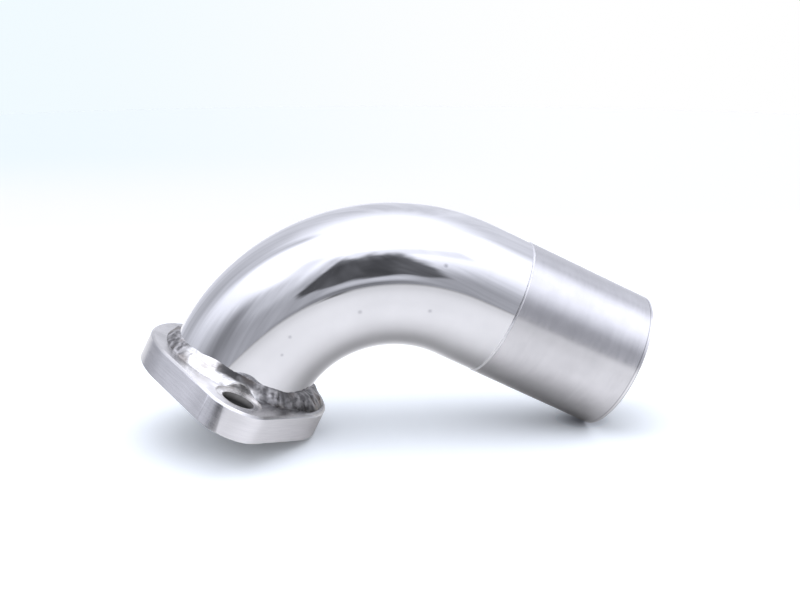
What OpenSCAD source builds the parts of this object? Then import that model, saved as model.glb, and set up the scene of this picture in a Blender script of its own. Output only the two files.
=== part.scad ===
// Crankcase breather elbow: a polished tube bend welded to a two-bolt flange,
// with a satin straight outlet for a hose. All sizes are in millimetres.
//
// The elbow is worked out in the frame of its flange: the mating face is the
// plane z = 0, the tube rises along +Z and the bend turns it towards +X.
// It is then laid down as it rests on a table, on the lowest point of the
// flange's mating face and the lowest point of the outlet's rim.

/* [Tube] */
// Outside diameter of the bent tube
tube_od = 38; // [30:0.5:46]
// Wall thickness of the bent tube and the outlet
tube_wall = 1.5; // [1.2:0.1:2.5]
// Radius of the bend, measured at the middle of the tube
bend_r = 45; // [36:0.5:60]
// Angle the tube turns through
bend_deg = 90; // [75:1:100]
// Straight polished length after the bend
plain_len = 11; // [6:0.5:20]

/* [Outlet] */
// Length of the satin outlet, from the joint to the open end
outlet_len = 37; // [25:0.5:50]
// How far the outlet stands proud of the bent tube, on the radius
outlet_step = 0.15; // [0.1:0.05:0.4]
// Chamfer on the two edges of the open rim
rim_chamfer = 0.35; // [0.2:0.05:0.5]
// Chamfers that leave a fine line where the outlet joins the bend
joint_chamfer = 0.25; // [0.1:0.05:0.4]

/* [Flange] */
// Thickness of the flange plate
flange_t = 7.5; // [6:0.5:10]
// Width of the flange ring outside the tube
ring_w = 6.5; // [5.5:0.5:9]
// Clear width between the tube's wall and the spot face of a bolt hole
spot_gap = 0.7; // [0.5:0.1:4]
// Radius of the rounded ears round the bolt holes
ear_r = 9.5; // [8:0.5:12]
// Diameter of the bolt holes
bolt_d = 8.5; // [6.5:0.5:9]
// Diameter of the spot face under each bolt head
spot_d = 12.6; // [11:0.2:13]
// Depth of the spot face below the flange's top
spot_deep = 0.5; // [0.3:0.1:1]
// Chamfer round the flange's top edge
edge_chamfer = 0.6; // [0.3:0.1:1]
// How deep the tube sits in its socket in the flange
socket_deep = 4; // [3:0.5:5]

/* [Weld] */
// Spacing of the ripples in the weld bead round the tube
ripple_pitch = 2.1; // [1.8:0.1:2.4]
// How far the bead reaches out over the flange
bead_out = 3.1; // [2.6:0.1:3.6]
// How far the bead climbs the tube
bead_up = 3.1; // [2.8:0.1:3.6]
// Radius of the bead's rounded face
bead_r = 5; // [4:0.1:5.5]
// How far the bead is set over towards the inner side of the bend
bead_over = 1.4; // [0:0.1:1.5]

/* [Hidden] */
$fn = 96;
over = 1;

// Radii of the tube and of the flange ring
tube_r = tube_od / 2;
bore_r = tube_r - tube_wall;
outlet_r = tube_r + outlet_step;
ring_r = tube_r + ring_w;

// The flange's straight sides touch the ring and an ear: side_deg is the
// angle between such a side and the line through the bolt holes
ear_y = tube_r + spot_gap + spot_d / 2;
side_deg = asin((ring_r - ear_r) / ear_y);
side_len = ear_y * cos(side_deg);
// The sides stand a hair inside the common tangent, so that each arc ends on
// a clear corner, and they reach this far in towards the bore
side_relief = 0.03;
side_in = ring_r - ear_r;

// The bead's face is an arc between its toes, on the plate and on the tube,
// and each ripple is a sphere round the middle of that arc. The ripples are
// counted in fours, so that a valley lies under each spot face
bead_chord = norm([bead_out, bead_up]);
bead_back = sqrt(pow(bead_r, 2) - pow(bead_chord / 2, 2)) / bead_chord;
bead_x = bead_out / 2 - bead_back * bead_up;
bead_z = bead_up / 2 - bead_back * bead_out;
ripples = 4 * round(PI * (tube_r + bead_out / 2) / (2 * ripple_pitch));

// Centre of the outlet's rim, in the plane of the bend. The rim's widest
// circle lies behind its chamfer
end_run = plain_len + outlet_len;
end_x = bend_r * (1 - cos(bend_deg)) + end_run * sin(bend_deg);
end_z = flange_t + bend_r * sin(bend_deg) + end_run * cos(bend_deg);
rim_x = end_x - rim_chamfer * sin(bend_deg) + outlet_r * cos(bend_deg);
rim_z = end_z - rim_chamfer * cos(bend_deg) - outlet_r * sin(bend_deg);

// Tilt that brings the mating face's edge and the rim to one level
rest_tilt = atan2(rim_z, rim_x - ring_r);
rest_lift = ring_r * sin(rest_tilt);

// The middle of the laid-down elbow along X, between the mating face's far
// edge and the upper side of the open end
top_x = end_x - (outlet_r - rim_chamfer) * cos(bend_deg);
top_z = end_z + (outlet_r - rim_chamfer) * sin(bend_deg);
far_left = -ring_r * cos(rest_tilt);
far_right = top_x * cos(rest_tilt) + top_z * sin(rest_tilt);
mid_x = (far_left + far_right) / 2;

// Lays the elbow down from the flange's frame to its resting frame
module laid_down() {
    translate([-mid_x, 0, rest_lift])
    rotate([0, rest_tilt, 0])
    children();
}

// Carries a shape to the end of the bend, its +Z along the outlet
module at_bend_end() {
    translate([bend_r, 0, flange_t])
    rotate([0, bend_deg, 0])
    translate([-bend_r, 0, 0])
    children();
}

// A length of the bend, as a solid bar or a pipe
module bent(r_out, r_in, deg) {
    translate([bend_r, 0, flange_t])
    rotate([90, 0, 180])
    rotate_extrude(angle = deg)
    translate([bend_r, 0])
    difference() {
        circle(r = r_out);
        if (r_in > 0) circle(r = r_in);
    }
}

// Half section of a plate of radius r with a chamfered top edge
module edge_section(r) {
    polygon([
        [0, 0], [r, 0],
        [r, flange_t - edge_chamfer],
        [r - edge_chamfer, flange_t],
        [0, flange_t]
    ]);
}

// One straight side of the flange, from the ring to an ear, with its bevel
module flange_side() {
    out = [cos(side_deg), -sin(side_deg)];
    along = [-sin(side_deg), -cos(side_deg)];
    side_r = ring_r - side_relief;
    difference() {
        linear_extrude(height = flange_t)
        polygon([
            (side_r - side_in) * out,
            side_r * out,
            side_r * out + side_len * along,
            (side_r - side_in) * out + side_len * along
        ]);
        rotate([0, 0, -side_deg])
        translate([side_r, -side_len - over, flange_t - edge_chamfer])
        rotate([0, -45, 0])
        translate([0, 0, -2])
        cube([3, side_len + 2 * over, 5]);
    }
}

// Outline of the plate: a ring, two ears and four straight sides
module flange_blank() {
    rotate_extrude() edge_section(ring_r);
    for (s = [-1, 1]) {
        translate([0, s * ear_y, 0])
        rotate_extrude() edge_section(ear_r);
    }
    for (mx = [0, 1], my = [0, 1]) {
        mirror([mx, 0, 0])
        mirror([0, my, 0])
        flange_side();
    }
}

// Room for a bolt: its hole, the spot face above it and a small chamfer below
module bolt_room() {
    translate([0, 0, -over])
    cylinder(d = bolt_d, h = flange_t + 2 * over);
    spot_face();
    translate([0, 0, -0.01])
    cylinder(d1 = bolt_d + 0.8, d2 = bolt_d, h = 0.4);
}

// The round cutter that levels the seat of the bolt head
module spot_face() {
    translate([0, 0, flange_t - spot_deep])
    cylinder(d = spot_d, h = spot_deep + bead_up + 2 * over);
}

// Plate with the tube's socket, the gas passage and the bolt holes
module flange_plate() {
    color("gainsboro")
    laid_down()
    difference() {
        flange_blank();
        translate([0, 0, -over])
        cylinder(r = bore_r, h = flange_t + 2 * over);
        translate([0, 0, flange_t - socket_deep])
        cylinder(r = tube_r, h = socket_deep + over);
        for (s = [-1, 1]) {
            translate([0, s * ear_y, 0]) bolt_room();
        }
    }
}

// Bent tube: the end in the socket, the bend and the plain length after it
module bend_tube() {
    color("silver")
    laid_down()
    union() {
        rotate_extrude()
        translate([bore_r, flange_t - socket_deep])
        square([tube_wall, socket_deep]);
        bent(tube_r, bore_r, bend_deg);
        at_bend_end()
        rotate_extrude()
        polygon([
            [bore_r, 0], [tube_r, 0],
            [tube_r, plain_len - joint_chamfer],
            [tube_r - joint_chamfer, plain_len],
            [bore_r, plain_len]
        ]);
    }
}

// Straight outlet with a fine groove at the joint and a broken rim
module outlet_tube() {
    color("lightgray")
    laid_down()
    at_bend_end()
    translate([0, 0, plain_len])
    rotate_extrude()
    polygon([
        [bore_r, 0],
        [tube_r - joint_chamfer, 0],
        [outlet_r, joint_chamfer + outlet_step],
        [outlet_r, outlet_len - rim_chamfer],
        [outlet_r - rim_chamfer, outlet_len],
        [bore_r + rim_chamfer, outlet_len],
        [bore_r, outlet_len - rim_chamfer]
    ]);
}

// Fillet weld: overlapping ripples round the tube, trimmed by the spot faces
module flange_weld() {
    color("dimgray")
    laid_down()
    difference() {
        for (i = [0 : ripples - 1]) {
            translate([bead_over, 0, 0])
            rotate([0, 0, (i + 0.5) * 360 / ripples])
            translate([tube_r + bead_x, 0, flange_t + bead_z])
            rotate([90, 0, 0])
            rotate([0, 0, 225])
            sphere(r = bead_r, $fn = 64);
        }
        translate([0, 0, flange_t - 2 * bead_r])
        cylinder(r = ring_r, h = 2 * bead_r);
        bent(tube_r, 0, 20);
        for (s = [-1, 1]) {
            translate([0, s * ear_y, 0]) spot_face();
        }
    }
}

flange_plate();
bend_tube();
outlet_tube();
flange_weld();
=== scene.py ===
import math
import random

import bmesh
import bpy
from mathutils import Matrix, Vector


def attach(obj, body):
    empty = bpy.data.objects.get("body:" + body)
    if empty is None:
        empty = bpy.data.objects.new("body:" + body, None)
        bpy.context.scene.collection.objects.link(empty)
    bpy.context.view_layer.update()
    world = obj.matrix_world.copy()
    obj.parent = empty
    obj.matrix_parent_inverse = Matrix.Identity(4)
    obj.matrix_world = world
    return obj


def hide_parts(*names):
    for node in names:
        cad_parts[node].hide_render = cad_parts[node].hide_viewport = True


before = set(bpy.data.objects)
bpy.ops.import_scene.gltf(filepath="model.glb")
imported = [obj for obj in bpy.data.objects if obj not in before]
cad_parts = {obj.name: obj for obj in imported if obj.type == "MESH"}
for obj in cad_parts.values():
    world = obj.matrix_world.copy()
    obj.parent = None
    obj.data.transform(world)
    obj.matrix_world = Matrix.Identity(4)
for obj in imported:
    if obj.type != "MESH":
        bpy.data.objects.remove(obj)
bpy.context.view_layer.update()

scene = bpy.context.scene

# The flange's frame inside the row frame: the centre of the mating face, the
# way the passage runs into the flange, and the way the outlet points. The
# elbow is laid down by one tilt about Y.
MATING_CENTRE = Vector((-0.04608484, 0.0, 0.01134269))
TILT = math.radians(26.41126)
UP = Vector((math.sin(TILT), 0.0, math.cos(TILT)))
ALONG = Vector((math.cos(TILT), 0.0, -math.sin(TILT)))
RIM_CONTACT = (0.05173, 0.0, 0.0)
TUBE_R = 0.019
BEND_R = 0.045
FLANGE_T = 0.0075
EAR_Y = 0.026
PLAIN_LEN = 0.011
# The same in millimetres, for the weld
TUBE_MM = 19.0
BEND_MM = 45.0
FLANGE_MM = 7.5
EAR_MM = 26.0
SPOT_R = 6.3


# ---------------------------------------------------------------- node maths

class Nodes:
    """Short names for building a node tree. Every value is a socket or a number."""

    def __init__(self, tree):
        self.tree = tree

    def put(self, socket, value):
        if isinstance(value, bpy.types.NodeSocket):
            self.tree.links.new(value, socket)
        else:
            socket.default_value = value

    def new(self, kind, **values):
        node = self.tree.nodes.new(kind)
        for name, value in values.items():
            setattr(node, name, value)
        return node

    def math(self, op, a, b=0.0, c=0.0, clamp=False):
        node = self.new("ShaderNodeMath", operation=op, use_clamp=clamp)
        for i, v in enumerate((a, b, c)):
            self.put(node.inputs[i], v)
        return node.outputs[0]

    def add(self, a, b):
        return self.math("ADD", a, b)

    def sub(self, a, b):
        return self.math("SUBTRACT", a, b)

    def mul(self, a, b):
        return self.math("MULTIPLY", a, b)

    def soft_step(self, x, w):
        """0 below -w, 1 above w."""
        return self.ramp(x, -w, w)

    def ramp(self, x, lo, hi, out_lo=0.0, out_hi=1.0):
        """Smooth step of x from lo to hi."""
        node = self.new("ShaderNodeMapRange", interpolation_type="SMOOTHSTEP")
        self.put(node.inputs["Value"], x)
        for name, v in (("From Min", lo), ("From Max", hi), ("To Min", out_lo), ("To Max", out_hi)):
            self.put(node.inputs[name], v)
        return node.outputs[0]

    def band(self, x, lo, hi, soft):
        """1 between lo and hi, falling to 0 over soft on each side."""
        return self.mul(self.ramp(x, lo - soft, lo + soft), self.ramp(x, hi - soft, hi + soft, 1.0, 0.0))

    def chart(self, x, points):
        """Value at x on a soft line through points (x, value), values from 0 to 2."""
        first, last = points[0][0], points[-1][0]
        node = self.new("ShaderNodeValToRGB")
        self.put(node.inputs[0], self.math("DIVIDE", self.sub(x, first), last - first, clamp=True))
        ramp = node.color_ramp
        ramp.interpolation = "EASE"
        while len(ramp.elements) < len(points):
            ramp.elements.new(0.5)
        for element, (at, value) in zip(ramp.elements, points):
            element.position = (at - first) / (last - first)
            element.color = (value / 2.0, value / 2.0, value / 2.0, 1.0)
        return self.mul(node.outputs[0], 2.0)

    def mix(self, t, a, b):
        """a where t is 0, b where t is 1, for numbers."""
        return self.add(a, self.mul(self.sub(b, a), t))

    def mix_colour(self, t, a, b):
        node = self.new("ShaderNodeMix", data_type="RGBA")
        self.put(node.inputs["Factor"], t)
        self.put(node.inputs["A"], a)
        self.put(node.inputs["B"], b)
        return node.outputs["Result"]

    def scale_colour(self, colour, k):
        node = self.new("ShaderNodeVectorMath", operation="SCALE")
        self.put(node.inputs[0], colour if isinstance(colour, bpy.types.NodeSocket) else colour[:3])
        self.put(node.inputs["Scale"], k)
        return node.outputs[0]

    def position(self):
        return self.new("ShaderNodeTexCoord").outputs["Object"]

    def xyz(self, v):
        node = self.new("ShaderNodeSeparateXYZ")
        self.put(node.inputs[0], v)
        return node.outputs

    def vec(self, x, y, z):
        node = self.new("ShaderNodeCombineXYZ")
        for i, v in enumerate((x, y, z)):
            self.put(node.inputs[i], v)
        return node.outputs[0]

    def dot(self, v, d):
        node = self.new("ShaderNodeVectorMath", operation="DOT_PRODUCT")
        self.put(node.inputs[0], v)
        self.put(node.inputs[1], d)
        return node.outputs["Value"]

    def cross(self, a, b):
        node = self.new("ShaderNodeVectorMath", operation="CROSS_PRODUCT")
        self.put(node.inputs[0], a)
        self.put(node.inputs[1], b)
        return node.outputs["Vector"]

    def distance(self, v, p):
        node = self.new("ShaderNodeVectorMath", operation="DISTANCE")
        self.put(node.inputs[0], v)
        self.put(node.inputs[1], p)
        return node.outputs["Value"]

    def noise(self, v, scale, detail=2.0, rough=0.5):
        node = self.new("ShaderNodeTexNoise")
        self.put(node.inputs["Vector"], v)
        node.inputs["Scale"].default_value = scale
        node.inputs["Detail"].default_value = detail
        node.inputs["Roughness"].default_value = rough
        return node.outputs["Fac"]

    def bump(self, height, strength, distance, normal=None):
        node = self.new("ShaderNodeBump")
        node.inputs["Strength"].default_value = strength
        node.inputs["Distance"].default_value = distance
        self.put(node.inputs["Height"], height)
        if normal is not None:
            self.put(node.inputs["Normal"], normal)
        return node.outputs["Normal"]


def material(name):
    mat = bpy.data.materials.new(name)
    mat.use_nodes = True
    n = Nodes(mat.node_tree)
    shader = mat.node_tree.nodes["Principled BSDF"]
    shader.inputs["Metallic"].default_value = 1.0
    return mat, n, shader


def flange_coords(n):
    """Place on the flange: x across, y towards the ears, z up from the mating face."""
    node = n.new("ShaderNodeVectorMath", operation="SUBTRACT")
    n.put(node.inputs[0], n.position())
    node.inputs[1].default_value = MATING_CENTRE
    q = node.outputs[0]
    return n.dot(q, ALONG), n.xyz(q)[1], n.dot(q, UP)


def length2(n, a, b):
    return n.math("SQRT", n.add(n.mul(a, a), n.mul(b, b)))


def tube_distance(n, x, y, z):
    """How far a place is from the middle line of the passage."""
    turn = n.sub(length2(n, n.sub(BEND_R, x), n.sub(z, FLANGE_T)), BEND_R)
    bend = length2(n, turn, y)
    stub = length2(n, x, y)
    run = length2(n, n.sub(z, FLANGE_T + BEND_R), y)
    near = n.mix(n.math("LESS_THAN", z, FLANGE_T), bend, stub)
    return n.mix(n.math("GREATER_THAN", x, BEND_R), near, run)


# ----------------------------------------------------------------- materials

# Small pits and specks in the polish: place on the tube and radius, in metres
PITS = [
    (-0.01176, -0.01847, 0.03752, 0.00055),
    (0.00617, -0.01837, 0.03725, 0.00050),
    (-0.02962, -0.01891, 0.03158, 0.00045),
    (-0.03174, -0.01858, 0.02679, 0.00040),
    (0.01031, -0.01755, 0.04875, 0.00055),
]


# Painted light and shade on the line of the joint: how bright it is, in degrees
# round the tube: 0 is the photographer's side and 90 the top
JOINT_PAINTED_LIGHT = [
    (-180.0, 1.0), (-75.0, 0.95), (-50.0, 1.05), (-20.0, 1.12), (-2.0, 1.10), (8.0, 0.65), (20.0, 0.65),
    (32.0, 0.95), (60.0, 1.0), (180.0, 1.0),
]


# How bright the satin is, in the same degrees: painted light and shade
SATIN_PAINTED_LIGHT = [
    (-180.0, 1.0), (-75.0, 1.0), (-60.0, 0.93), (-46.0, 0.99), (-32.0, 1.04), (-20.0, 1.02), (-10.0, 0.95), (0.0, 0.89), (7.0, 1.0),
    (12.0, 1.04), (22.0, 0.93), (32.0, 1.02), (46.0, 1.0), (53.0, 0.93), (62.0, 0.98), (72.0, 0.92),
    (82.0, 0.90), (100.0, 1.0), (180.0, 1.0),
]


def round_tube(n, y, z):
    """Degrees round the tube at the outlet, from a place in the flange's frame."""
    angle = n.math("ARCTAN2", n.sub(z, FLANGE_T + BEND_R), n.mul(y, -1.0))
    return n.mul(angle, 180.0 / math.pi)


def painted_joint_colour(n, colour, y, z):
    """A colour of the joint's line, with painted light and shade by place."""
    return n.scale_colour(colour, n.chart(round_tube(n, y, z), JOINT_PAINTED_LIGHT))


def polished():
    mat, n, s = material("polished_steel")
    x, y, z = flange_coords(n)
    p = n.position()
    inside = n.ramp(tube_distance(n, x, y, z), 0.0180, 0.0185, 1.0, 0.0)
    fine = n.noise(p, 90.0, 3.0)
    base = n.mix_colour(n.ramp(fine, 0.3, 0.7), (0.67, 0.675, 0.695, 1), (0.71, 0.715, 0.735, 1))
    # The end inside the socket and the inner wall aren't polished
    dull = n.mix_colour(n.noise(p, 260.0, 4.0), (0.36, 0.35, 0.34, 1), (0.50, 0.49, 0.48, 1))
    base = n.mix_colour(inside, base, dull)
    rough = n.ramp(n.noise(p, 40.0, 2.0), 0.3, 0.7, 0.03, 0.055)
    dent = 0.0
    for px, py, pz, size in PITS:
        spot = n.ramp(n.distance(p, (px, py, pz)), 0.0, size * 1.7, 1.0, 0.0)
        base = n.mix_colour(n.mul(spot, 0.6), base, (0.36, 0.36, 0.39, 1))
        dent = n.math("MAXIMUM", dent, spot)
    rough = n.mix(dent, rough, 0.25)
    # A fine unpolished line where the outlet is joined on, with painted light and shade round the tube
    line = n.ramp(x, BEND_R + PLAIN_LEN - 0.00028, BEND_R + PLAIN_LEN - 0.0002)
    base = n.mix_colour(line, base, painted_joint_colour(n, (0.70, 0.70, 0.72, 1), y, z))
    rough = n.mix(line, rough, 0.6)
    n.put(s.inputs["Base Color"], base)
    n.put(s.inputs["Roughness"], n.mix(inside, rough, 0.42))
    wave = n.noise(p, 26.0, 1.0, 0.3)
    n.put(s.inputs["Normal"], n.bump(n.sub(wave, n.mul(dent, 0.12)), 0.10, 0.001))
    return mat


def satin():
    mat, n, s = material("satin_steel")
    p = n.position()
    x, y, z = flange_coords(n)
    inside = n.ramp(tube_distance(n, x, y, z), 0.0180, 0.0185, 1.0, 0.0)
    # Brush marks run round the tube: fine along it, long round it
    side = n.sub(z, FLANGE_T + BEND_R)
    marks = n.noise(n.vec(n.mul(x, 10.0), y, side), 130.0, 4.0, 0.6)
    broad = n.noise(n.vec(n.mul(x, 3.0), y, side), 60.0, 2.0, 0.5)
    mottle = n.noise(p, 240.0, 3.0, 0.6)
    tone = n.mix(0.35, n.mix(0.5, marks, broad), mottle)
    base = n.mix_colour(n.ramp(tone, 0.3, 0.7), (0.58, 0.58, 0.60, 1), (0.66, 0.66, 0.68, 1))
    # Painted light and shade round the tube, and painted light towards the outlet's end
    place = n.mul(n.chart(round_tube(n, y, z), SATIN_PAINTED_LIGHT), n.ramp(x, 0.070, 0.090, 0.97, 1.07))
    base = n.scale_colour(base, place)
    # The joint's line on this side, with painted light and shade round the tube
    line = n.ramp(x, BEND_R + PLAIN_LEN + 0.0003, BEND_R + PLAIN_LEN + 0.0004, 1.0, 0.0)
    base = n.mix_colour(line, base, painted_joint_colour(n, (0.87, 0.87, 0.885, 1), y, z))
    # The last millimetre before the rim is lighter, behind a fine dark line
    end = n.sub(x, BEND_R + PLAIN_LEN + 0.037)
    base = n.mix_colour(n.ramp(end, -0.0010, -0.0008), base, (0.74, 0.74, 0.76, 1))
    base = n.mix_colour(n.band(end, -0.00115, -0.0009, 0.00012), base, (0.40, 0.40, 0.42, 1))
    dull = n.mix_colour(mottle, (0.34, 0.33, 0.32, 1), (0.50, 0.49, 0.48, 1))
    n.put(s.inputs["Base Color"], n.mix_colour(inside, base, dull))
    rough = n.mix(line, n.ramp(marks, 0.3, 0.7, 0.18, 0.24), 0.6)
    n.put(s.inputs["Roughness"], n.mix(inside, rough, 0.45))
    s.inputs["Anisotropic"].default_value = 0.6
    # The marks scatter light along the tube, and less round it
    normal = n.new("ShaderNodeNewGeometry").outputs["Normal"]
    n.put(s.inputs["Tangent"], n.cross(n.cross(normal, tuple(ALONG)), normal))
    n.put(s.inputs["Normal"], n.bump(marks, 0.04, 0.0001))
    return mat


# Tones of the flange by place, in degrees round the passage, much of it painted light
# and shade: its sides, its top face, the grey film beside the weld and the bevel
SIDE_PAINTED_LIGHT = [
    (-180.0, 0.85), (-170.0, 0.66), (-160.0, 0.77), (-150.0, 0.88), (-140.0, 1.04), (-130.0, 1.13),
    (-115.0, 1.20), (-106.0, 1.01), (-102.0, 1.10), (-99.0, 1.27), (-95.5, 1.02), (-91.0, 0.89),
    (-78.0, 1.02), (-20.0, 1.06), (0.0, 0.90), (180.0, 0.9),
]
# A painted dark stroke of shade down the ear's left side, by degrees round it at the bevel
STROKE_PAINTED_SHADE = [(-106.0, 1.0), (-100.0, 0.92), (-97.3, 0.52), (-96.3, 0.58), (-95.4, 1.0)]
FACE_PAINTED_LIGHT = [
    (-180.0, 0.68), (-160.0, 0.74), (-142.0, 0.80), (-130.0, 0.76), (-118.0, 0.88), (-100.0, 1.12),
    (-92.0, 0.95), (-84.0, 0.60), (-60.0, 0.56), (0.0, 0.55), (40.0, 0.75), (180.0, 0.76),
]
FILM_AND_SHADE_TONE = [
    (-180.0, 0.86), (-160.0, 0.95), (-148.0, 0.95), (-138.0, 0.72), (-127.0, 0.66), (-116.0, 0.75),
    (-100.0, 0.80), (-84.0, 1.15), (-70.0, 1.05), (-60.0, 0.80), (-45.0, 0.60), (-30.0, 0.30), (0.0, 0.30),
    (60.0, 0.70), (180.0, 0.90),
]
BEVEL_PAINTED_LIGHT = [
    (-180.0, 0.78), (-165.0, 0.58), (-140.0, 0.58), (-125.0, 0.58), (-105.0, 0.85),
    (-96.0, 0.76), (-84.0, 0.60), (-60.0, 0.62), (-10.0, 0.50), (0.0, 0.28), (40.0, 0.75), (180.0, 0.78),
]


# How matt the top face is, where its painted light makes it bright
MATT = [
    (-180.0, 0.0), (-150.0, 0.0), (-125.0, 0.15), (-112.0, 0.62), (-98.0, 0.75), (-88.0, 0.2),
    (-78.0, 0.0), (180.0, 0.0),
]


def brushed():
    mat, n, s = material("brushed_flange")
    x, y, z = flange_coords(n)
    off = n.sub(n.math("ABSOLUTE", y), EAR_Y)
    from_bolt = length2(n, x, off)
    from_axis = length2(n, x, y)
    # Cutter marks: along the edge on the sides, round the axis on the back
    edge_marks = n.noise(n.vec(x, y, n.mul(z, 16.0)), 150.0, 4.0, 0.6)
    turned = n.noise(n.vec(n.mul(from_axis, 18.0), 0.0, 0.0), 160.0, 3.0, 0.6)
    seat = n.noise(n.vec(n.mul(from_bolt, 20.0), 0.0, 0.0), 160.0, 3.0, 0.6)
    base = n.mix_colour(n.ramp(edge_marks, 0.25, 0.75), (0.64, 0.64, 0.665, 1), (0.71, 0.71, 0.735, 1))
    turn = n.mul(n.math("ARCTAN2", y, x), 180.0 / math.pi)
    lean = n.sub(turn, n.mul(n.sub(0.0062, z), 250.0))
    # The narrow end of each ear's arc, beside the straight side, painted darker to damp its glint
    painted_corner_shade = n.mul(n.math("ARCTAN2", off, n.mul(x, -1.0)), 180.0 / math.pi)
    painted_corner_shade = n.band(painted_corner_shade, 33.4, 36.6, 0.8)
    # Painted light and shade on the sides, with the painted stroke and corner
    tone = n.mul(n.mul(n.chart(turn, SIDE_PAINTED_LIGHT), n.chart(lean, STROKE_PAINTED_SHADE)), n.mix(painted_corner_shade, 1.0, 0.90))
    base = n.scale_colour(base, tone)
    rough = n.ramp(edge_marks, 0.3, 0.7, 0.15, 0.21)
    # Top face, bright and smooth, with painted light and shade by place, and the bevel round it
    top = n.ramp(z, FLANGE_T - 0.0007, FLANGE_T - 0.0004)
    blot = n.noise(n.position(), 190.0, 3.0, 0.6)
    face = n.mix_colour(n.ramp(blot, 0.3, 0.7), (0.78, 0.77, 0.77, 1), (0.94, 0.93, 0.93, 1))
    face = n.scale_colour(face, n.chart(turn, FACE_PAINTED_LIGHT))
    # Grey film beside the weld, in blots, with painted light and shade by place
    near = n.ramp(n.add(from_axis, n.mul(n.sub(blot, 0.5), 0.004)), 0.0225, 0.0270, 1.0, 0.0)
    face = n.scale_colour(face, n.mix(near, 1.0, n.chart(turn, FILM_AND_SHADE_TONE)))
    # The bevel, with painted highlights and shade by place
    bevel = n.scale_colour((0.95, 0.95, 0.96, 1), n.chart(turn, BEVEL_PAINTED_LIGHT))
    base = n.mix_colour(top, base, n.mix_colour(n.ramp(z, 0.00690, 0.00745, 1.0, 0.0), face, bevel))
    rough = n.mix(top, rough, 0.24)
    # Seat of the bolt head, and the hole with a bright lip, painted dark with shade deep down
    ring = n.ramp(from_bolt, 0.0062, 0.0065, 1.0, 0.0)
    base = n.mix_colour(ring, base, n.mix_colour(n.ramp(seat, 0.35, 0.65), (0.70, 0.69, 0.68, 1), (0.92, 0.91, 0.90, 1)))
    rough = n.mix(ring, rough, 0.24)
    wall = n.mul(ring, n.ramp(z, FLANGE_T - 0.00045, FLANGE_T - 0.0003))
    base = n.mix_colour(wall, base, (0.62, 0.60, 0.58, 1))
    hole = n.ramp(from_bolt, 0.0043, 0.0046, 1.0, 0.0)
    painted_shade_by_depth = n.ramp(z, FLANGE_T - 0.0024, FLANGE_T - 0.0009)
    base = n.mix_colour(hole, base, n.mix_colour(painted_shade_by_depth, (0.10, 0.10, 0.10, 1), (0.62, 0.61, 0.60, 1)))
    rough = n.mix(hole, rough, 0.45)
    # Back face and bore, turned
    back = n.ramp(z, 0.00005, 0.0002, 1.0, 0.0)
    base = n.mix_colour(back, base, n.mix_colour(n.ramp(turned, 0.35, 0.65), (0.56, 0.56, 0.57, 1), (0.72, 0.72, 0.73, 1)))
    rough = n.mix(back, rough, 0.25)
    bore = n.ramp(from_axis, 0.0180, 0.0185, 1.0, 0.0)
    base = n.mix_colour(bore, base, (0.40, 0.39, 0.38, 1))
    rough = n.mix(bore, rough, 0.40)
    n.put(s.inputs["Base Color"], base)
    n.put(s.inputs["Roughness"], rough)
    matt = n.mul(n.mul(top, n.chart(turn, MATT)), n.sub(1.0, hole))
    n.put(s.inputs["Metallic"], n.sub(1.0, matt))
    height = n.mix(back, n.mix(ring, edge_marks, seat), turned)
    n.put(s.inputs["Normal"], n.bump(height, 0.06, 0.0002))
    return mat


# How dark the bead is beside the tube, by degrees round it
SEAM = [
    (-180.0, 0.0), (-115.0, 0.0), (-106.0, 0.92), (-95.0, 0.95), (-85.0, 0.40), (-60.0, 0.22),
    (-40.0, 0.25), (-20.0, 0.1), (0.0, 0.0), (180.0, 0.0),
]
# Tone of the bead where it's dark: its soot, with painted light and shade by degrees round it
SOOT_AND_SHADE_TONE = [
    (-180.0, 1.1), (-145.0, 1.15), (-90.0, 1.2), (-66.0, 1.35), (-40.0, 1.15), (-28.0, 0.85),
    (0.0, 0.65), (60.0, 1.0), (180.0, 1.1),
]


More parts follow.
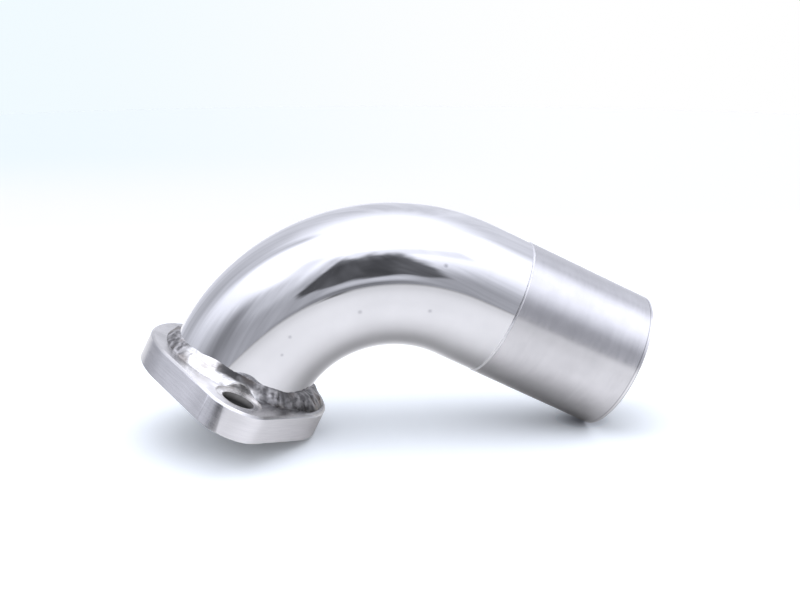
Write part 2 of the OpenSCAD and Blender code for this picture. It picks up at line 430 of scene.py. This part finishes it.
def weld():
    mat, n, s = material("weld_bead")
    x, y, z = flange_coords(n)
    p = n.position()
    turn = n.mul(n.math("ARCTAN2", y, x), 180.0 / math.pi)
    grain = n.noise(p, 620.0, 2.0, 0.5)
    lumps = n.noise(p, 360.0, 2.0, 0.5)
    speck = n.add(n.mul(grain, 0.45), n.mul(lumps, 0.55))
    dark = n.mix_colour(n.ramp(speck, 0.42, 0.66), (0.115, 0.113, 0.116, 1), (0.41, 0.405, 0.41, 1))
    # Painted shade: darker towards the plate, and lighter on its left
    climb = n.sub(z, FLANGE_T)
    painted_shade_by_depth = n.ramp(climb, 0.0003, 0.0030, 0.55, 1.25)
    painted_shade_by_depth = n.mix(n.ramp(turn, -150.0, -130.0, 1.0, 0.0), painted_shade_by_depth, 1.45)
    dark = n.scale_colour(dark, n.mul(painted_shade_by_depth, n.chart(turn, SOOT_AND_SHADE_TONE)))
    # A painted highlight where the bead catches the light, at the front left
    start = n.ramp(climb, 0.0, 0.0018, -134.0, -143.0)
    end = n.ramp(climb, 0.0012, 0.0030, -80.0, -108.0)
    painted_highlight = n.mul(n.ramp(n.sub(turn, start), -7.0, 7.0), n.ramp(n.sub(turn, end), -9.0, 12.0, 1.0, 0.0))
    scratch = n.noise(n.vec(n.mul(x, 0.5), n.mul(y, 0.5), n.mul(climb, 2.0)), 900.0, 3.0, 0.6)
    highlight_colour = n.mix_colour(n.ramp(n.mix(0.5, lumps, scratch), 0.40, 0.56), (0.58, 0.57, 0.56, 1), (0.94, 0.94, 0.94, 1))
    base = n.mix_colour(painted_highlight, dark, highlight_colour)
    # A black band along the tube's side of the bead, and a touch of heat colour
    high = n.ramp(n.add(z, n.mul(n.sub(lumps, 0.5), 0.0012)), FLANGE_T + 0.0018, FLANGE_T + 0.0024)
    seam = n.mul(high, n.chart(n.add(turn, n.mul(n.sub(lumps, 0.5), 18.0)), SEAM))
    base = n.mix_colour(seam, base, (0.035, 0.034, 0.036, 1))
    n.put(s.inputs["Metallic"], n.mix(seam, 1.0, 0.0))
    heat = n.mul(n.ramp(n.noise(p, 210.0, 1.0, 0.4), 0.52, 0.68), 0.22)
    base = n.mix_colour(heat, base, (0.38, 0.30, 0.23, 1))
    n.put(s.inputs["Base Color"], base)
    rough = n.mix(painted_highlight, n.ramp(grain, 0.3, 0.7, 0.26, 0.48), 0.28)
    n.put(s.inputs["Roughness"], n.mix(seam, rough, 0.6))
    n.put(s.inputs["Normal"], n.bump(grain, 0.4, 0.0004))
    return mat


def coat(node, mat):
    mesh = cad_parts[node].data
    for i in range(max(1, len(mesh.materials))):
        if i < len(mesh.materials):
            mesh.materials[i] = mat
        else:
            mesh.materials.append(mat)


coat("bend_tube", polished())
coat("outlet_tube", satin())
coat("flange_plate", brushed())


# ----------------------------------------------------------------- weld bead

# The bead round the tube, in degrees from the inner side of the bend: how far
# it reaches out over the plate, how far up the tube, how lumpy it is, and how
# full its face is, from hollow to round
BEAD = [
    (-180.0, 2.4, 2.9, 0.70, 0.9),
    (-150.0, 2.4, 3.2, 0.60, 0.8),
    (-132.0, 2.6, 3.6, 0.15, 0.4),
    (-116.0, 2.8, 4.3, 0.15, 0.3),
    (-100.0, 3.0, 3.9, 0.20, 0.1),
    (-76.0, 3.2, 3.4, 0.30, 0.2),
    (-48.0, 3.8, 3.2, 0.75, 0.8),
    (-20.0, 5.0, 3.1, 1.00, 1.0),
    (5.0, 5.5, 3.0, 1.00, 1.0),
    (30.0, 4.4, 3.1, 0.80, 1.0),
    (60.0, 3.2, 3.3, 0.50, 0.5),
    (95.0, 3.0, 3.3, 0.40, 0.3),
    (135.0, 2.7, 3.2, 0.45, 0.8),
    (180.0, 2.4, 2.9, 0.70, 0.9),
]


def bead_at(deg):
    for (a, *va), (b, *vb) in zip(BEAD, BEAD[1:]):
        if deg <= b:
            t = (deg - a) / (b - a)
            t = t * t * (3.0 - 2.0 * t)
            return [p + (q - p) * t for p, q in zip(va, vb)]


def spot_limit(deg):
    """How far out the bead may reach before a bolt's spot face cuts it, in mm."""
    off = math.radians(abs(abs(deg) - 90.0))
    reach = SPOT_R ** 2 - (EAR_MM * math.sin(off)) ** 2
    if reach <= 0.0:
        return 99.0
    return EAR_MM * math.cos(off) - math.sqrt(reach)


def build_bead():
    """An uneven hand-laid fillet between the tube and the plate, with its ripples."""
    steps, face, wall = 720, 16, 3
    rng = random.Random(7)
    waves = [(rng.uniform(0, 6.283), k, 1.0 / (1.0 + 0.12 * k)) for k in (3, 5, 7, 9, 13, 17, 23)]
    phase = [0.0]
    for i in range(steps):
        phase.append(phase[-1] + 1.0 + 0.35 * math.sin(i * 0.083) + 0.25 * math.sin(i * 0.031 + 1.7))
    total = phase[-1]
    ripples = 58
    bm = bmesh.new()
    rows = []
    for i in range(steps):
        deg = -180.0 + 360.0 * i / steps
        a = math.radians(deg)
        out, up, lumpy, full = bead_at(deg)
        sway = sum(w * math.sin(k * a + p) for p, k, w in waves) / 3.0
        out += 0.30 * lumpy * sway + 0.08 * sway
        up += 0.10 * lumpy * math.sin(11 * a + 2.0) + 0.08 * sway
        limit = spot_limit(deg) - TUBE_MM
        end = min(out, limit)
        row = []
        for j in range(face):
            u = j / (face - 1)
            across = -0.25 + (end + 0.25) * u
            t = max(0.0, min(1.0, across / out))
            h = up * (1.0 - t) ** (2.1 - 1.2 * full) + 0.55 * full * math.sin(math.pi * t)
            ripple = phase[i] / total * ripples * 2.0 * math.pi - 2.2 * (t - 0.5) ** 2
            crest = 1.0 - abs(math.sin(ripple / 2.0)) ** 0.7
            body = math.sin(math.pi * min(1.0, 0.08 + 0.92 * t))
            h -= (0.06 + 0.16 * lumpy) * crest * body
            knob = math.sin(9.0 * a + 3.1 * t) * math.sin(23.0 * a - 4.0 * t + 1.0)
            knob += 0.6 * math.sin(31.0 * a + 7.0 * t) * math.sin(5.0 * t + 14.0 * a)
            h += 0.45 * lumpy * max(0.0, knob) * body * min(1.0, 2.2 * t)
            row.append((across, FLANGE_MM + max(-0.1, h)))
        foot = row[-1][1]
        for j in range(1, wall + 1):
            row.append((end, foot + (FLANGE_MM - 0.1 - foot) * j / wall))
        ring = []
        for across, z in row:
            r = TUBE_MM + across
            lean = BEND_MM - math.sqrt(BEND_MM ** 2 - (z - FLANGE_MM) ** 2)
            x, y = r * math.cos(a) + lean * max(0.0, 1.0 - across / out), r * math.sin(a)
            v = MATING_CENTRE + (ALONG * x + UP * z) * 0.001 + Vector((0.0, y * 0.001, 0.0))
            ring.append(bm.verts.new(v))
        rows.append(ring)
    for i in range(steps):
        one, two = rows[i], rows[(i + 1) % steps]
        for j in range(len(one) - 1):
            bm.faces.new((one[j], one[j + 1], two[j + 1], two[j]))
    mesh = bpy.data.meshes.new("weld_bead")
    bm.to_mesh(mesh)
    bm.free()
    for f in mesh.polygons:
        f.use_smooth = True
    bead = bpy.data.objects.new("weld_bead", mesh)
    scene.collection.objects.link(bead)
    mesh.materials.append(weld())
    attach(bead, "root")
    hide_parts("flange_weld")
    return bead


build_bead()


# ------------------------------------------------------------ floor and light

def build_floor():
    mesh = bpy.data.meshes.new("floor")
    bm = bmesh.new()
    bmesh.ops.create_circle(bm, cap_ends=True, segments=96, radius=0.9)
    bm.to_mesh(mesh)
    bm.free()
    floor = bpy.data.objects.new("floor", mesh)
    floor.location = (0.0, 0.0, -0.00015)
    scene.collection.objects.link(floor)
    mat = bpy.data.materials.new("pale_table")
    mat.use_nodes = True
    n = Nodes(mat.node_tree)
    mat.node_tree.nodes.remove(mat.node_tree.nodes["Principled BSDF"])
    out = mat.node_tree.nodes["Material Output"]
    # Seen in the metal, the table is painted darker towards its far edge at the front,
    # and with painted shade in a narrow strip right under the tube
    path = n.new("ShaderNodeLightPath")
    y = n.xyz(n.position())[1]
    front = n.mul(y, -1.0)
    far = n.mul(n.ramp(front, 0.04, 0.30, 1.0, 0.78), n.ramp(front, 0.30, 0.75, 1.0, 0.52))
    x = n.xyz(n.position())[0]
    under = n.ramp(x, 0.0, 0.035, 0.76, 0.58)
    reach = n.ramp(x, 0.0, 0.035, 0.023, 0.034)
    shade = n.mul(far, n.ramp(n.math("ABSOLUTE", y), 0.0, reach, under, 1.0))
    # Seen in the metal, a painted dark place far in front, and a painted bright one close by
    edge = n.mul(n.ramp(front, 0.36, 0.50), n.band(x, -0.037, -0.008, 0.012))
    glow = n.mul(n.band(front, 0.02, 0.055, 0.025), n.ramp(x, 0.0, 0.03, 0.10, 0.0))
    shade = n.mul(shade, n.add(n.mix(edge, 1.0, 0.38), glow))
    mirrored = n.vec(n.mul(shade, 0.945), n.mul(shade, 0.93), n.mul(shade, 0.885))
    # Far away the table takes the faint blue of the backdrop, on the left
    slant = n.math("DIVIDE", n.add(x, 0.034), n.add(n.math("MAXIMUM", y, 0.0), 0.33))
    blue = n.mul(n.ramp(y, 0.30, 0.60), n.ramp(slant, -0.22, 0.29, 1.0, 0.0))
    distant = n.mix_colour(blue, (0.815, 0.81, 0.76, 1), (0.712, 0.77, 0.74, 1))
    pale = n.mix_colour(n.ramp(y, 0.15, 0.32), (1.09, 1.14, 1.15, 1), distant)
    # A painted contact shadow where the rim touches the table
    painted_contact_shadow = n.ramp(n.distance(n.position(), RIM_CONTACT), 0.0, 0.010)
    pale = n.mix_colour(painted_contact_shadow, (0.42, 0.43, 0.46, 1), pale)
    colour = n.mix_colour(path.outputs["Is Camera Ray"], (0.88, 0.89, 0.84, 1), pale)
    diffuse = n.new("ShaderNodeBsdfDiffuse")
    n.put(diffuse.inputs["Color"], n.mix_colour(path.outputs["Is Glossy Ray"], colour, mirrored))
    n.put(out.inputs["Surface"], diffuse.outputs[0])
    mesh.materials.append(mat)
    return floor


# Brightness of the open top of the tent
TOP = 1.75

# Soft grey screens in the tent, seen from the elbow: azimuths from and to, and
# their softness; elevations from and to, and theirs; brightness; weight.
# Azimuth 0 is towards the photographer, and it grows towards +X.
SCREENS = [
    (-66.0, -44.0, 13.0, -30.0, 32.0, 9.0, 0.25, 0.92),
    (-42.0, -27.0, 6.0, 24.0, 54.0, 5.0, 0.86, 0.55),
    (25.0, 46.0, 5.0, 42.0, 51.0, 3.0, 1.05, 0.75),
    (-128.0, -112.0, 9.0, 26.0, 66.0, 6.0, 0.76, 0.85),
    (-142.0, -118.0, 9.0, -20.0, 30.0, 9.0, 0.58, 0.85),
    (-4.0, 8.0, 3.5, 3.8, 9.0, 1.6, 0.86, 0.85),
    (-5.0, 8.0, 5.5, -3.0, 1.6, 1.0, 0.20, 0.9),
    (-14.0, 15.0, 6.0, -2.4, 0.2, 0.8, 0.34, 0.5),
    (-50.0, -30.0, 7.0, 22.0, 38.0, 5.0, 0.62, 0.5),
    (-23.0, -15.0, 4.0, 20.0, 50.0, 5.0, 0.34, 0.6),
    (-13.0, 25.0, 4.0, 43.0, 52.0, 3.0, 0.95, 0.6),
    (-126.0, -76.0, 9.0, -30.0, 11.0, 5.0, 0.60, 0.85),
]


def tent_light(n, az, el):
    """Brightness of the tent in one direction, from its azimuth and elevation in degrees."""
    away = n.math("ABSOLUTE", az)
    low = n.ramp(away, 58.0, 100.0, 0.50, 0.82)
    front = n.ramp(el, 12.0, 49.0, low, TOP)
    back = n.ramp(el, 37.0, 78.0, n.ramp(away, 140.0, 172.0, 0.75, 0.86), TOP)
    back = n.add(back, n.ramp(el, -6.0, 17.0, 0.12, 0.0))
    right_hand = n.math("SINE", n.mul(az, math.pi / 180.0))
    back = n.add(back, n.mul(n.ramp(right_hand, 0.0, 0.6), n.ramp(el, 0.0, 22.0, -0.06, 0.15)))
    light = n.mix(n.ramp(away, 97.0, 124.0), front, back)
    for a0, a1, a_soft, e0, e1, e_soft, level, weight in SCREENS:
        screen = n.mul(n.band(az, a0, a1, a_soft), n.band(el, e0, e1, e_soft))
        light = n.mix(n.mul(screen, weight), light, level)
    # Faint slanting streaks in the cloth, below the bright top
    slant = n.vec(n.add(n.mul(az, 0.16), n.mul(el, 0.05)), n.mul(el, 0.02), 0.0)
    streak = n.ramp(n.noise(slant, 1.0, 3.0, 0.6), 0.25, 0.75, 0.88, 1.12)
    light = n.mul(light, n.mix(n.ramp(light, 0.9, 1.3), streak, 1.0))
    # The dark opening: it narrows downwards and its upper edge is scalloped
    ragged = n.noise(n.vec(n.mul(az, 0.17), n.mul(el, 0.17), 0.0), 1.0, 1.0, 0.5)
    az = n.add(az, n.mul(n.sub(ragged, 0.5), 4.0))
    el = n.add(el, n.mul(n.sub(ragged, 0.5), 4.0))
    left = n.ramp(el, 7.0, 17.0, -8.0, -16.8)
    left = n.add(left, n.ramp(el, 26.0, 40.0, 0.0, 1.3))
    right = n.ramp(el, 26.0, 46.0, 15.8, 11.6)
    right = n.sub(right, n.ramp(el, 8.0, 14.0, 2.0, 0.0))
    scallop = n.math("COSINE", n.mul(n.add(az, 14.0), 0.571))
    top = n.add(44.4, n.mul(scallop, n.ramp(az, -8.0, 9.0, 1.3, 0.2)))
    top = n.add(top, n.mul(n.band(az, -3.0, 6.0, 3.0), 1.5))
    foot = n.add(10.6, n.math("COSINE", n.mul(n.add(az, 1.5), 0.75)))
    blur = n.ramp(el, 24.0, 38.0, 2.4, 4.8)
    wide = n.ramp(n.sub(right, az), n.mul(blur, -1.0), blur)
    wide = n.mul(wide, n.soft_step(n.sub(az, left), 1.6))
    tall = n.mul(n.soft_step(n.sub(el, foot), 1.8), n.soft_step(n.sub(top, el), 4.2))
    tone = n.mix(n.band(az, -9.0, -1.5, 2.5), 0.092, 0.125)
    tone = n.mix(n.band(az, 6.0, 18.0, 2.5), tone, 0.14)
    tone = n.add(tone, n.ramp(el, 34.0, 46.0, 0.0, 0.14))
    tone = n.mul(tone, n.ramp(n.noise(slant, 1.6, 1.0, 0.5), 0.25, 0.75, 0.8, 1.25))
    return n.mix(n.mul(wide, tall), light, tone)


def build_world():
    """A white tent of soft light, open at the front where the photographer stands."""
    world = bpy.data.worlds.new("tent")
    scene.world = world
    world.use_nodes = True
    tree = world.node_tree
    tree.nodes.clear()
    n = Nodes(tree)
    d = n.new("ShaderNodeTexCoord").outputs["Generated"]
    dx, dy, dz = n.xyz(d)
    deg = 180.0 / math.pi
    az = n.mul(n.math("ARCTAN2", dx, n.mul(dy, -1.0)), deg)
    el = n.mul(n.math("ARCSINE", dz), deg)
    light = tent_light(n, az, el)
    tent = n.new("ShaderNodeBackground")
    n.put(tent.inputs["Color"], n.vec(n.mul(light, 0.985), light, n.mul(light, 1.10)))
    plain = n.new("ShaderNodeBackground")
    cool = n.mul(n.ramp(dx, -0.22, 0.28, 1.0, 0.0), n.ramp(dy, 0.80, 0.92))
    cool = n.mul(cool, n.ramp(el, -0.5, 4.0, 1.0, 0.0))
    n.put(plain.inputs["Color"], n.mix_colour(cool, (1.0, 1.0, 1.0, 1), (0.88, 0.96, 1.0, 1)))
    path = n.new("ShaderNodeLightPath")
    mix = n.new("ShaderNodeMixShader")
    n.put(mix.inputs[0], path.outputs["Is Camera Ray"])
    n.put(mix.inputs[1], tent.outputs[0])
    n.put(mix.inputs[2], plain.outputs[0])
    out = n.new("ShaderNodeOutputWorld")
    n.put(out.inputs["Surface"], mix.outputs[0])
    return world



build_floor()
build_world()


# -------------------------------------------------------------------- camera

def build_camera():
    data = bpy.data.cameras.new("camera")
    data.sensor_fit = "HORIZONTAL"
    data.sensor_width = 36.0
    data.lens = 56.93
    data.clip_start = 0.01
    data.clip_end = 20.0
    cam = bpy.data.objects.new("camera", data)
    scene.collection.objects.link(cam)
    look = Vector((0.10213, 0.96365, -0.24690)).normalized()
    cam.location = (-0.03439, -0.32835, 0.11978)
    cam.rotation_euler = look.to_track_quat("-Z", "Y").to_euler()
    scene.camera = cam


build_camera()
scene.view_settings.view_transform = "Standard"
